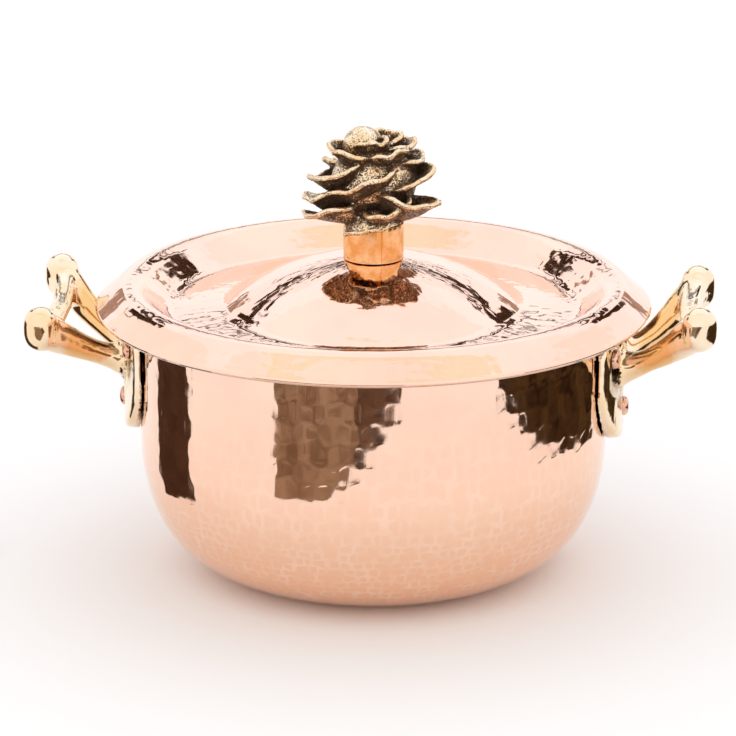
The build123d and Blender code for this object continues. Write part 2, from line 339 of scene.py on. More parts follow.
@dataclass(frozen=True)
class AntiquedMetal(Metal):
    """A cast metal blackened all over and then rubbed bright on its raised edges; on the handles the same
    dark tone is a painted golden reflection instead.

    Attributes:
        oxide_and_reflection_tone: Hex colour of the oxide left in the recesses, and on the handles of the
            painted golden reflection.
        speckle: Size of the bright specks in the oxide, in mm.
        speckle_reach: How far the specks shift the border between oxide and metal.
        border: Rubbing at which the oxide begins to go and at which it is gone.
        oxide_and_reflection_finish: Roughness and metallic share of the oxide and of the painted
            reflection.
    """

    oxide_and_reflection_tone: str = "4f3724"
    speckle: float = 0.8
    speckle_reach: float = 4.2
    border: Point = (0.40, 0.64)
    oxide_and_reflection_finish: Point = (0.55, 0.4)

    def material(self) -> bpy.types.Material:
        """Build the material on the bare_metal_share attribute, which is 0 in a recess and under the
        handles' painted reflection, and 1 on a rubbed edge.

        Returns:
            The material, with its shader wired.
        """
        made = super().material()
        tree = made.node_tree
        shader = tree.nodes["Principled BSDF"]
        bare_metal_share = add_node(tree, "ShaderNodeAttribute", attribute_name="bare_metal_share").outputs["Fac"]
        place = add_node(tree, "ShaderNodeTexCoord").outputs["Object"]
        specks = add_node(tree, "ShaderNodeTexNoise", {
            "Vector": place, "Scale": per_metre(self.speckle), "Detail": 3.0, "Roughness": 0.7,
        })
        spread = add_node(tree, "ShaderNodeMath", {
            0: specks.outputs["Fac"], 1: self.speckle_reach, 2: -self.speckle_reach / 2,
        }, operation="MULTIPLY_ADD")
        total = add_node(tree, "ShaderNodeMath", {0: bare_metal_share, 1: spread.outputs[0]}, operation="ADD")
        share = add_node(tree, "ShaderNodeMapRange", {
            "Value": total.outputs[0], "From Min": self.border[0], "From Max": self.border[1],
        }).outputs["Result"]
        base, gloss = shader.inputs["Base Color"], shader.inputs["Roughness"]
        mixed = add_node(tree, "ShaderNodeMix", {
            0: share, COLOUR_A: linear(self.oxide_and_reflection_tone), COLOUR_B: base.links[0].from_socket,
        }, data_type="RGBA")
        dull, metallic = self.oxide_and_reflection_finish
        rough = add_node(tree, "ShaderNodeMix", {0: share, 2: dull, 3: gloss.links[0].from_socket})
        bare = add_node(tree, "ShaderNodeMix", {0: share, 2: metallic, 3: 1.0})
        tree.links.new(mixed.outputs[COLOUR_RESULT], base)
        tree.links.new(rough.outputs[0], gloss)
        tree.links.new(bare.outputs[0], shader.inputs["Metallic"])
        return made


# Copper sheet, raised by hammer and polished: mirror bright, pale peach with pinker patches
POLISHED_COPPER = HammeredMetal("hammered_copper", "fcdbc6", "fbd3c0", 45, (0.035, 0.08), 14, 1.6, 0.004)
# Tin wiped over hot copper with a cloth: soft grey silver with curved wipe streaks
WIPED_TIN = Metal("wiped_tin", "cfcdc6", "bdbab2", 30, (0.24, 0.38), 18, 2.2, 0.012, (1.0, 1.0, 0.35))
# Sand-cast bronze, filed and buffed: pale, with a painted golden reflection of the copper on the arms
CAST_BRONZE = AntiquedMetal(
    "cast_bronze", "fae8cf", "f6dab2", 16, (0.06, 0.14), 9, 2.4, 0.012,
    # Painted reflection: the golden orange tone on the arms, glossy and fully metallic
    oxide_and_reflection_tone="f0c488", speckle=8, speckle_reach=1.4, border=(0.25, 0.8), oxide_and_reflection_finish=(0.12, 1.0),
)
# Bronze tube, buffed round and round
SLEEVE_BRONZE = Metal(
    "polished_bronze", "f8d3a2", "e9ad68", 7, (0.10, 0.2), 4, 0.8, 0.012, stretch=(0.15, 0.15, 1.0),
)
# Rivet copper, set cold with a hammer
RIVET_COPPER = Metal("copper_rivet", "efc5ae", "dba98f", 5, (0.12, 0.24), 3, 0.9, 0.02)
# Plain turned steel
STEEL = Metal("steel_fastener", "b4b3ae", "9e9d98", 6, (0.25, 0.38), 3, 0.6, 0.006)
# Cast bronze blackened with sulphur, then rubbed back on its raised edges
FLOWER_BRONZE = AntiquedMetal("antiqued_bronze", "fbe7c9", "f2cd9d", 7, (0.16, 0.28), 4, 1.2, 0.05)


# Outline helpers, in mm, with points as (radius, height)


def rounded(points: Sequence[Point], radii: Sequence[float], spacing: float) -> list[Point]:
    """Round the corners of a polyline with arcs.

    Args:
        points: Corners of the line.
        radii: Rounding of each inner corner, where 0 leaves it sharp.
        spacing: Longest step along an arc.

    Returns:
        The points of the rounded line.
    """
    line = [points[0]]
    for before, corner, after, radius in zip(points, points[1:], points[2:], radii):
        if radius <= 0:
            line.append(corner)
            continue
        back = (Vector(before) - Vector(corner)).normalized()
        ahead = (Vector(after) - Vector(corner)).normalized()
        half = back.angle(ahead) / 2
        centre = Vector(corner) + (back + ahead).normalized() * radius / math.sin(half)
        start = Vector(corner) + back * radius / math.tan(half) - centre
        end = Vector(corner) + ahead * radius / math.tan(half) - centre
        steps = max(2, math.ceil(start.angle(end) * radius / spacing))
        for step in range(steps + 1):
            share = step / steps
            spoke = (start * (1 - share) + end * share).normalized() * radius
            line.append((centre[0] + spoke[0], centre[1] + spoke[1]))
    line.append(points[-1])
    return line


def distances_along(line: np.ndarray) -> np.ndarray:
    """Measure the distance of each point along its line, from rows of radius and height."""
    return np.concatenate([[0], np.cumsum(np.hypot(*np.diff(line, axis=0).T))])


def evenly(points: Sequence[Point], spacing: float) -> list[Point]:
    """Space points evenly along a line.

    Args:
        points: Points of the line.
        spacing: About the distance between the new points.

    Returns:
        Evenly spaced points, with the line's own ends.
    """
    line = np.array(points)
    along = distances_along(line)
    places = np.linspace(0, along[-1], max(2, round(along[-1] / spacing) + 1))
    return list(zip(np.interp(places, along, line[:, 0]), np.interp(places, along, line[:, 1])))


def inset_line(points: Sequence[Point], depth: float) -> list[Point]:
    """Move a line sideways, to the left of its direction.

    Args:
        points: Points of the line.
        depth: Distance to move.

    Returns:
        The moved points.
    """
    line = np.array(points)
    ahead = np.gradient(line, axis=0)
    ahead /= np.hypot(*ahead.T)[:, None]
    moved = line + depth * np.column_stack([-ahead[:, 1], ahead[:, 0]])
    return [tuple(point) for point in moved]


# Modelling helpers


def activate(piece: bpy.types.Object) -> None:
    """Select one object alone and make it active.

    Args:
        piece: The object.
    """
    bpy.ops.object.select_all(action="DESELECT")
    piece.select_set(True)
    bpy.context.view_layer.objects.active = piece


def vertex_places(piece: bpy.types.Object) -> np.ndarray:
    """Read the places of an object's vertices.

    Args:
        piece: The object.

    Returns:
        The places in metres, as rows.
    """
    places = np.empty(len(piece.data.vertices) * 3)
    piece.data.vertices.foreach_get("co", places)
    return places.reshape(-1, 3)


def vertex_normals(piece: bpy.types.Object) -> np.ndarray:
    """Read the normals of an object's vertices.

    Args:
        piece: The object.

    Returns:
        The normals, as rows.
    """
    normals = np.empty(len(piece.data.vertices) * 3, np.float32)
    piece.data.vertex_normals.foreach_get("vector", normals)
    return normals.reshape(-1, 3).astype(float)


def move_vertices(piece: bpy.types.Object, places: np.ndarray) -> None:
    """Put an object's vertices at new places, in metres."""
    piece.data.vertices.foreach_set("co", places.ravel())
    piece.data.update()


def draw_outline(name: str, points: Sequence[Point]) -> bpy.types.Object:
    """Draw an outline in the XZ plane by extruding one vertex from point to point.

    Args:
        name: The new object's name.
        points: Points of the outline as (radius, height), in mm.

    Returns:
        The object, left in edit mode with its last vertex selected.
    """
    bpy.ops.object.select_all(action="DESELECT")
    first = Vector((points[0][0], 0, points[0][1])) * MM
    bpy.ops.mesh.primitive_plane_add(size=MM, location=first, enter_editmode=True)
    piece = bpy.context.object
    piece.name = name
    bpy.ops.mesh.merge(type="CENTER")
    for start, end in zip(points, points[1:]):
        step = Vector((end[0] - start[0], 0, end[1] - start[1])) * MM
        bpy.ops.mesh.extrude_region_move(TRANSFORM_OT_translate={"value": step})
    return piece


def spin_outline(name: str, points: Sequence[Point], steps: int, closed: bool) -> bpy.types.Object:
    """Spin an outline round the Z axis to a closed skin with its normals outward.

    Args:
        name: The new object's name.
        points: Points of the outline as (radius, height), in mm.
        steps: Steps round the circle.
        closed: Whether the outline's last point joins its first.

    Returns:
        The spun object, at the origin.
    """
    piece = draw_outline(name, points)
    bpy.ops.mesh.select_all(action="SELECT")
    if closed:
        bpy.ops.mesh.select_all(action="DESELECT")
        bpy.ops.object.mode_set(mode="OBJECT")
        piece.data.vertices[0].select = True
        piece.data.vertices[len(points) - 1].select = True
        bpy.ops.object.mode_set(mode="EDIT")
        bpy.ops.mesh.edge_face_add()
        bpy.ops.mesh.select_all(action="SELECT")
    bpy.ops.mesh.spin(steps=steps, angle=math.tau, center=(0, 0, 0), axis=(0, 0, 1))
    bpy.ops.mesh.select_all(action="SELECT")
    bpy.ops.mesh.remove_doubles(threshold=0.001 * MM)
    bpy.ops.mesh.normals_make_consistent(inside=False)
    bpy.ops.object.mode_set(mode="OBJECT")
    bpy.ops.object.transform_apply()
    return piece


def remesh(piece: bpy.types.Object, voxel: float, smoothing: int) -> None:
    """Fuse a piece into one even skin and soften it.

    Args:
        piece: The piece.
        voxel: Size of the skin's cells, in mm.
        smoothing: Rounds of smoothing.
    """
    activate(piece)
    piece.data.remesh_voxel_size = voxel * MM
    piece.data.remesh_voxel_adaptivity = 0.0
    bpy.ops.object.voxel_remesh()
    softener = piece.modifiers.new("soften", "SMOOTH")
    softener.factor = 0.5
    softener.iterations = smoothing
    bpy.ops.object.modifier_apply(modifier=softener.name)


def add_lumps(piece: bpy.types.Object, size: float, depth: float, seed: float) -> None:
    """Sink the skin by a smooth noise, as a hand-finished casting is uneven.

    Args:
        piece: The piece.
        size: Distance between the lumps, in mm.
        depth: Most that the skin sinks between two lumps, in mm.
        seed: Shift of the noise.
    """
    places = vertex_places(piece)
    shift = Vector((seed, seed, seed))
    lumps = np.array([noise.noise(Vector(place) / (size * MM) + shift) for place in places])
    move_vertices(piece, places + vertex_normals(piece) * ((lumps - 1) / 2 * depth * MM)[:, None])


def store_bare_metal_share(piece: bpy.types.Object, bare_metal_share: np.ndarray) -> None:
    """Store how far each vertex shows bare metal, rubbed bright or on a handle clear of the painted
    reflection, from 0 to 1, for the material.
    """
    piece.data.attributes.new("bare_metal_share", "FLOAT", "POINT").data.foreach_set("value", bare_metal_share.astype(np.float32))


def neighbour_means(values: np.ndarray, edges: np.ndarray) -> np.ndarray:
    """Average the values of each vertex's neighbours.

    Args:
        values: A value for each vertex.
        edges: The two vertices of each edge, as rows.

    Returns:
        The averages.
    """
    first, second = edges.T
    size = len(values)
    totals = np.bincount(first, values[second], size) + np.bincount(second, values[first], size)
    return totals / np.bincount(edges.ravel(), minlength=size)


def copy_solid(node: str, name: str) -> bpy.types.Object:
    """Copy a CAD node's mesh to a new object and weld its loose triangles.

    Args:
        node: The node's name.
        name: The new object's name.

    Returns:
        The copy.
    """
    piece = bpy.data.objects.new(name, bpy.data.objects[node].data.copy())
    bpy.context.scene.collection.objects.link(piece)
    activate(piece)
    bpy.ops.object.mode_set(mode="EDIT")
    bpy.ops.mesh.select_all(action="SELECT")
    bpy.ops.mesh.remove_doubles(threshold=0.01 * MM)
    bpy.ops.object.mode_set(mode="OBJECT")
    return piece


def fill_corners(piece: bpy.types.Object, radius: float, voxel: float) -> None:
    """Fill the inner corners of a piece by swelling it, fusing its skin and shrinking it back.

    Args:
        piece: The piece.
        radius: Radius that the corners get, in mm.
        voxel: Size of the skin's cells, in mm.
    """
    for distance in (radius, -radius):
        remesh(piece, voxel, 1)
        swell = piece.modifiers.new("swell", "DISPLACE")
        swell.mid_level = 0.0
        swell.strength = distance * MM
        bpy.ops.object.modifier_apply(modifier=swell.name)


def finish_piece(
    piece: bpy.types.Object,
    material: bpy.types.Material,
    body: Body,
    stands_for: Sequence[str] = (),
    crease: float = 180.0,
) -> None:
    """Dress a piece, smooth it and tie it to its body.

    Args:
        piece: The piece.
        material: Its finish.
        body: The body that it rides on.
        stands_for: CAD nodes that it stands for.
        crease: Angle above which an edge stays sharp, in degrees.
    """
    piece.data.materials.clear()
    piece.data.materials.append(material)
    activate(piece)
    if crease >= 180:
        bpy.ops.object.shade_smooth()
    else:
        bpy.ops.object.shade_smooth_by_angle(angle=math.radians(crease))
    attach(piece, body.value)
    if stands_for:
        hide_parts(*stands_for)
    LOG.info("%s: %d vertices", piece.name, len(piece.data.vertices))


# Waves in which the marks stray along their row: share of the row's marks, shift from row to row
MARK_WAVES = ((0.37, 2.4), (0.23, 5.1))
# Waves in which the rows wander: turns round the pan, shift from row to row, phase
ROW_WAVES = ((29, 2.1, 0.3), (43, -1.3, 1.2), (67, 3.7, 2.9), (11, 0.9, 4.4))
# How far the rows wander, as a share of how far the marks stray
ROW_SWAY = 0.6
# Slow waves of a hand-raised sheet: turns round the pan, mm along the outline, phase
SHEET_WAVES = ((5, 23.0, 0.4), (8, -31.0, 1.9), (13, 17.0, 4.1))
# Radius round the axis and distance from the face's ends within which the hammer eases off, in mm
CALM_RADIUS, CALM_END = 12, 2
# Power that gives a mark its rounded square shape
SQUARENESS = 4


@dataclass(frozen=True)
class HammerMarks:
    """Rows of shallow dished marks, left by a planishing hammer worked round and round.

    Attributes:
        sizes: Rows of a distance along the outline and a mark's width and height there, in mm.
        depth: Depth of a mark's middle under the ridges, in mm.
        tilt: How far a mark leans, as its side's rise in mm.
        jitter: How far a mark strays from its place in the row, as a share of its size.
        seed: Seed of the marks' scatter.
    """

    sizes: tuple[tuple[float, float, float], ...]
    depth: float
    tilt: float
    jitter: float
    seed: int

    def row_rings(self, lengths: np.ndarray) -> np.ndarray:
        """Lay the rows along an outline, from ring to ring of the spun sheet.

        Args:
            lengths: Distance of each ring along the outline, in mm.

        Returns:
            The ring at which each row begins.
        """
        stops, _, heights = np.array(self.sizes).T
        rings = [0]
        while rings[-1] < len(lengths) - 1:
            height = np.interp(lengths[rings[-1]], stops, heights)
            rings.append(rings[-1] + max(2, round(height / (lengths[1] - lengths[0]))))
        return np.array(rings)

    def counts(self, lengths: np.ndarray, radii: np.ndarray) -> np.ndarray:
        """Count the marks of each row.

        Args:
            lengths: Distance of each ring along the outline, in mm.
            radii: Distance of each ring from the axis, in mm.

        Returns:
            The number of marks in each row.
        """
        stops, widths, _ = np.array(self.sizes).T
        rings = self.row_rings(lengths)
        middles = np.minimum((rings[:-1] + rings[1:]) // 2, len(lengths) - 1)
        wanted = math.tau * radii[middles] / np.interp(lengths[middles], stops, widths)
        return np.append(np.maximum(4, np.round(wanted)), 4).astype(int)

    def across(self, angle: np.ndarray, row: np.ndarray, counts: np.ndarray) -> np.ndarray:
        """Number the places along a row, where each mark takes one unit.

        Args:
            angle: Angle of each place round the axis, in radians.
            row: Row of each place.
            counts: Marks in each row.

        Returns:
            The places along their rows.
        """
        marks = counts[row]
        sway = sum(np.sin(np.round(share * marks) * angle + shift * row) for share, shift in MARK_WAVES)
        return angle / math.tau * marks + 0.5 * (row % 2) + self.jitter * sway

    def upward(self, angle: np.ndarray, level: np.ndarray) -> np.ndarray:
        """Number the places across the rows, where each row takes one unit and wanders a little.

        Args:
            angle: Angle of each place round the axis, in radians.
            level: Number of rows from the outline's start to each place.

        Returns:
            The places across the rows.
        """
        sway = sum(np.sin(turns * angle + shift * level + phase) for turns, shift, phase in ROW_WAVES)
        return level + ROW_SWAY * self.jitter * sway

    def relief(
        self, across: np.ndarray, upward: np.ndarray, row: np.ndarray, counts: np.ndarray,
    ) -> np.ndarray:
        """Dish and lean the marks.

        Args:
            across: Places along their rows.
            upward: Places across the rows.
            row: Row of each place.
            counts: Marks in each row.

        Returns:
            Height over the ridges, in mm.
        """
        scatter = np.random.default_rng(self.seed).uniform(-1, 1, (2, len(counts), counts.max()))
        sideways, upwards = scatter[:, row, np.floor(across).astype(int) % counts[row]]
        right, up = 2 * (across % 1) - 1, 2 * (upward % 1) - 1
        rise = np.minimum((right ** SQUARENESS + up ** SQUARENESS) ** (1 / SQUARENESS), 1)
        lean = self.tilt * (sideways * right + upwards * up)
        return self.depth * (rise ** 2 - 1) + lean * (1 - rise ** SQUARENESS)


class HammeredFace:
    """The face of a spun sheet that is struck, with the place of each vertex among the marks."""

    def __init__(self, piece: bpy.types.Object, outline: Sequence[Point], marks: HammerMarks) -> None:
        """Find the ring of the outline and the row of marks that each vertex is on.

        Args:
            piece: The spun sheet.
            outline: The face's outline as (radius, height), in mm.
            marks: The hammer's marks.
        """
        self.piece = piece
        self.marks = marks
        self.places = vertex_places(piece) / MM
        self.radius = np.hypot(self.places[:, 0], self.places[:, 1])
        self.angle = np.arctan2(self.places[:, 1], self.places[:, 0]) % math.tau
        line = np.array(outline)
        self.lengths = distances_along(line)
        self.ring = self.rings_on(line)
        self.counts = marks.counts(self.lengths, line[:, 0])
        rows = marks.row_rings(self.lengths)
        level = np.interp(self.ring, rows, np.arange(len(rows)))
        self.row = level.astype(int)
        self.starts_row = level == self.row
        self.upward = marks.upward(self.angle, level)

    def rings_on(self, line: np.ndarray, miss_limit: float = 0.01, batch: int = 4096) -> np.ndarray:
        """Match each vertex with the point of the outline that it was spun from.

        Args:
            line: Points of the outline, as rows.
            miss_limit: Farthest that a vertex may lie from its point, in mm.
            batch: Vertices that are matched at once.

        Returns:
            The number of the point, or -1 away from the face.
        """
        ring = np.empty(len(self.places), int)
        for start in range(0, len(ring), batch):
            part = slice(start, start + batch)
            miss = np.hypot(self.radius[part, None] - line[:, 0], self.places[part, 2, None] - line[:, 1])
            ring[part] = np.where(miss.min(axis=1) < miss_limit, miss.argmin(axis=1), -1)
        return ring

    def map_marks(self) -> None:
        """Store the places among the marks as a UV map, whose units are the marks.

        The corners of a face all count in its own row's marks, and past the end of a turn they count on.
        """
        mesh = self.piece.data
        vertex = np.empty(len(mesh.loops), int)
        mesh.loops.foreach_get("vertex_index", vertex)
        starts, totals = (np.empty(len(mesh.polygons), int) for _ in range(2))
        mesh.polygons.foreach_get("loop_start", starts)
        mesh.polygons.foreach_get("loop_total", totals)
        face_ring = np.repeat(np.minimum.reduceat(self.ring[vertex], starts), totals)
        face_turn = np.repeat(np.maximum.reduceat(self.angle[vertex], starts), totals)
        turn = self.angle[vertex] + math.tau * (face_turn - self.angle[vertex] > math.pi)
        row = self.row[vertex] - ((self.ring[vertex] > face_ring) & self.starts_row[vertex])
        across = self.marks.across(turn, np.maximum(row, 0), self.counts)
        corners = np.column_stack([across, self.upward[vertex]])
        corners[face_ring < 0] = 0.5
        layer = mesh.uv_layers.new(name="marks")
        layer.uv.foreach_set("vector", corners.astype(np.float32).ravel())

    def strike(self, wave: float) -> None:
        """Sink the face by its marks and by the slow waves of a hand-raised sheet.

        Args:
            wave: Height of the waves, in mm.
        """
        struck = self.ring >= 0
        angle, row = self.angle[struck], self.row[struck]
        across = self.marks.across(angle, row, self.counts)
        height = self.marks.relief(across, self.upward[struck], row, self.counts)
        along = self.lengths[self.ring[struck]]
        waves = sum(np.sin(turns * angle + along / length + phase) for turns, length, phase in SHEET_WAVES)
        ends = np.minimum(along, self.lengths[-1] - along)
        calm = np.clip(self.radius[struck] / CALM_RADIUS, 0, 1) * np.clip(ends / CALM_END, 0, 1)
        sink = np.minimum(height + wave * (waves / len(SHEET_WAVES) - 1), 0) * calm
        self.places[struck] += vertex_normals(self.piece)[struck] * sink[:, None]
        move_vertices(self.piece, self.places * MM)


@dataclass
class Pot:
    """Pot raised from one sheet of copper: straight wall, round belly and flat base, in mm."""

    radius: float = 120.0
    height: float = 145.1
    sheet: float = 2.0
    base_radius: float = 56.8
    belly_height: float = 73.3
    fullness: float = 0.65
    rim_round: float = 0.7
    spacing: float = 1.55
    steps: int = 500
    marks: HammerMarks = HammerMarks(
        ((0, 6.0, 11.0), (70, 7.5, 9.5), (95, 6.2, 5.2), (240, 5.2, 4.7)),
        depth=0.06, tilt=0.05, jitter=0.16, seed=11,
    )
    wave: float = 0.06
    curve_points: int = 60

    def outline(self, inset: float) -> list[Point]:
        """Half outline of the pot, from its rim to the middle of its base.

        Args:
            inset: Depth under the outer face.

        Returns:
            Points as (radius, height).
        """
        wall = self.radius - inset
        drop = self.belly_height - self.fullness * (self.belly_height - inset)
        reach = self.base_radius + self.fullness * (wall - self.base_radius)
        corners = [(wall, self.belly_height), (wall, drop), (reach, inset), (self.base_radius, inset)]
        belly = []
        for share in np.linspace(0, 1, self.curve_points):
            rest = 1 - share
            weights = [rest ** 3, 3 * share * rest ** 2, 3 * share ** 2 * rest, share ** 3]
            belly.append(tuple(sum(w * c[axis] for w, c in zip(weights, corners)) for axis in (0, 1)))
        return [(wall, self.height - self.rim_round), *belly, (0.0, inset)]

    def build(self) -> bpy.types.Object:
        """Spin the sheet and hammer its outer face.

        Returns:
            The pot's copper sheet.
        """
        outer = evenly(self.outline(0), self.spacing)
        inner = evenly(self.outline(self.sheet), 4 * self.spacing)
        rim = [
            (self.radius - self.sheet, self.height),
            (self.radius - self.rim_round, self.height),
            (self.radius - 0.3 * self.rim_round, self.height - 0.3 * self.rim_round),
        ]
        piece = spin_outline("hammered_pot", [*inner[::-1], *rim, *outer], self.steps, closed=False)
        face = HammeredFace(piece, outer, self.marks)
        face.map_marks()
        face.strike(self.wave)
        return piece


@dataclass
class Lid:
    """Lid raised from one sheet: a sloping flange, a round crest, a sunken floor and a dome, in mm.

    All heights but the flange's own are over the flange's edge.
    """

    flange_radius: float = 142.0
    flange_height: float = 139.46
    sheet: float = 1.8
    crest_radius: float = 124.3
    crest_height: float = 12.2
    crest_round: float = 10.0
    crest_outer: Point = (130.885, 9.726)
    crest_inner: Point = (117.48, 9.5135)
    floor: Point = (104.70, -2.4)
    floor_round: float = 7.0
    dome_base: Point = (76.70, -1.2)
    dome_round: float = 9.0
    dome_height: float = 25.7
    hole_radius: float = 3.4
    spacing: float = 1.5
    steps: int = 560
    marks: HammerMarks = HammerMarks(
        ((0, 9.0, 6.0), (55, 8.0, 6.0), (72, 12.0, 7.5), (150, 11.0, 8.0)),
        depth=0.045, tilt=0.085, jitter=0.17, seed=23,
    )
    wave: float = 0.05
    crest_points: int = 12
    dome_points: int = 17

    def upper_face(self) -> list[Point]:
        """Outline of the upper face, from the flange's edge to the screw's hole.

        Returns:
            Points as (radius, height) from the pot's base.
        """
        dome_radius = (self.dome_base[0] ** 2 + self.dome_height ** 2) / (2 * self.dome_height)
        centre = self.dome_base[1] + self.dome_height - dome_radius
        half = math.asin(self.dome_base[0] / dome_radius)
        end = math.asin(self.hole_radius / dome_radius)
        dome = [
            (dome_radius * math.sin(turn), centre + dome_radius * math.cos(turn))
            for turn in np.linspace(half, end, self.dome_points)
        ]
        corners = [(self.flange_radius, 0.0), *self.crest(), self.floor, *dome]
        sharp_crest, sharp_dome = [0.0] * self.crest_points, [0.0] * (self.dome_points - 1)
        rounds = [*sharp_crest, self.floor_round, self.dome_round, *sharp_dome]
        line = rounded(corners, rounds, self.spacing / 2)
        return [(radius, height + self.flange_height) for radius, height in line]

    def crest(self) -> list[Point]:
        """Give the crest's arc.

        Returns:
            Points as (radius, height) over the flange's edge, from the outer side in.
        """
        middle = Vector((self.crest_radius, self.crest_height - self.crest_round))
        spokes = (Vector(side) - middle for side in (self.crest_outer, self.crest_inner))
        start, end = (math.atan2(spoke[1], spoke[0]) for spoke in spokes)
        return [
            (middle[0] + self.crest_round * math.cos(turn), middle[1] + self.crest_round * math.sin(turn))
            for turn in np.linspace(start, end, self.crest_points)
        ]

    def build(self) -> bpy.types.Object:
        """Spin the sheet and hammer its upper face.

        Returns:
            The lid's copper sheet.
        """
        upper = evenly(self.upper_face(), self.spacing)
        fine = evenly(self.upper_face(), self.spacing / 2)
        lower = evenly(inset_line(fine, self.sheet), 3 * self.spacing)
        piece = spin_outline("hammered_lid", [*upper, *lower[::-1]], self.steps, closed=True)
        face = HammeredFace(piece, upper, self.marks)
        face.map_marks()
        face.strike(self.wave)
        return piece


@dataclass
class Handle:
    """Stirrup handle, sand-cast in one with its pad, filed and buffed, in mm.

    Attributes:
        side: Its side of the pan.
        seed: Shift of its lumps' noise.
        corner: Radius of its inner corners.
        voxel: Size of its skin's cells.
        smoothing: Rounds of smoothing.
        lumps: Rows of the lumps' size and depth.
        seed_step: Shift of the noise from one row to the next.
        wear_and_reflection: Rows of a distance from the pan's axis and the share kept in the pale bronze
            there; the rest takes the painted golden reflection of the copper.
    """

    side: str
    seed: float
    corner: float = 4.0
    voxel: float = 0.85
    smoothing: int = 26
    lumps: tuple[Point, ...] = ((10.0, 0.5), (4.0, 0.12))
    seed_step: int = 20
    wear_and_reflection: tuple[Point, ...] = ((128.0, 0.9), (138.0, 0.5), (146.0, 0.1), (154.0, 0.1), (162.0, 1.0))

    def build(self) -> bpy.types.Object:
        """Fuse the casting's forms into one soft skin with wide inner corners, make it uneven, and store
        its painted reflection mask by reach.

        Returns:
            The handle.
        """
        piece = copy_solid(f"{self.side}_handle", f"cast_{self.side}_handle")
        fill_corners(piece, self.corner, self.voxel)
        remesh(piece, self.voxel, self.smoothing)
        for number, (size, depth) in enumerate(self.lumps):
            add_lumps(piece, size, depth, self.seed + self.seed_step * number)
        reach = np.hypot(*vertex_places(piece)[:, :2].T) / MM
        # Painted reflection: the arms take the golden tone, while the pad and the elbows stay pale
        store_bare_metal_share(piece, np.interp(reach, *zip(*self.wear_and_reflection)))
        return piece


@dataclass
class Sleeve:
    """Bronze tube under the flower, rolled from strip and soldered along one seam, in mm."""

    radius: float = 15.4
    wall: float = 2.5
    top: float = 181.96
    dome_radius: float = 127.3
    dome_top: float = 163.96
    seam_turn: float = -70.0
    seam_depth: float = 0.35
    seam_half_angle: float = 1.2
    seam_reach: float = 1.0
    foot_gap: float = 0.15
    edge_rounds: tuple[float, float, float] = (0.3, 0.4, 0.4)
    arc_step: float = 0.2
    spacing: float = 0.9
    steps: int = 360

    def build(self) -> bpy.types.Object:
        """Spin the tube and press its seam in.

        Returns:
            The sleeve.
        """
        inner = self.radius - self.wall
        centre = self.dome_top - self.dome_radius
        reach = self.dome_radius + self.foot_gap
        foot = [(radius, centre + math.sqrt(reach ** 2 - radius ** 2)) for radius in (inner, self.radius)]
        corners = [foot[0], foot[1], (self.radius, self.top), (inner, self.top), foot[0]]
        line = rounded(corners, self.edge_rounds, self.arc_step)
        piece = spin_outline("finial_sleeve", evenly(line, self.spacing)[:-1], self.steps, closed=True)
        places = vertex_places(piece) / MM
        turn = np.degrees(np.arctan2(places[:, 1], places[:, 0]))
        depth = self.seam_depth * np.clip(1 - np.abs(turn - self.seam_turn) / self.seam_half_angle, 0, 1)
        radius = np.hypot(places[:, 0], places[:, 1])
        outer = radius > self.radius - self.seam_reach
        places[outer, :2] *= (1 - depth[outer] / radius[outer])[:, None]
        move_vertices(piece, places * MM)
        return piece


@dataclass(frozen=True)
class Petal:
    """One petal of the rose, by the run of its rim.

    Attributes:
        turn: Direction of its middle, in degrees from the front towards the right.
        span: Half of the angle that it takes round the bud, in degrees.
        reach: Distance of its rim from the axis, in mm.
        rises: Height of its rim over the sleeve at its left end, its middle and its right end, in mm.
        cup: Height of its rim over its root, in mm, less than 0 where it hangs.
    """

    turn: float
    span: float
    reach: float
    rises: tuple[float, float, float]
    cup: float = 12.0


# The rose from its lowest petals up. Those behind the bud repeat the run of those in front.
ROSE = (
    Petal(-62, 42, 36.0, (4, 8, 16)),
    Petal(-12, 66, 19.5, (-1, 0, 8), -14.0),
    Petal(24, 40, 28.0, (9, 12.5, 19)),
    Petal(150, 50, 35.5, (5, 7, 10)),
    Petal(-85, 48, 35.0, (12, 14, 21)),
    Petal(62, 54, 35.5, (21, 14.5, 12)),
    Petal(-165, 58, 34.0, (10, 13, 15)),
    Petal(-18, 62, 29.5, (14, 25, 35)),
    Petal(72, 48, 32.0, (20, 30, 26)),
    Petal(-74, 58, 32.0, (22, 25.5, 34.5)),
    Petal(140, 52, 32.0, (23, 25, 23)),
    Petal(-145, 54, 30.0, (25, 28, 31)),
    Petal(102, 44, 25.5, (32, 34.5, 32)),
    Petal(-62, 62, 23.0, (39, 41, 36.5)),
    Petal(42, 50, 20.5, (36, 41, 38)),
    Petal(98, 50, 20.0, (40, 43, 40)),
    Petal(178, 58, 21.5, (40, 39, 41)),
    Petal(-20, 72, 12.5, (42, 44, 45)),
    Petal(125, 62, 13.5, (43, 45.5, 44)),
)


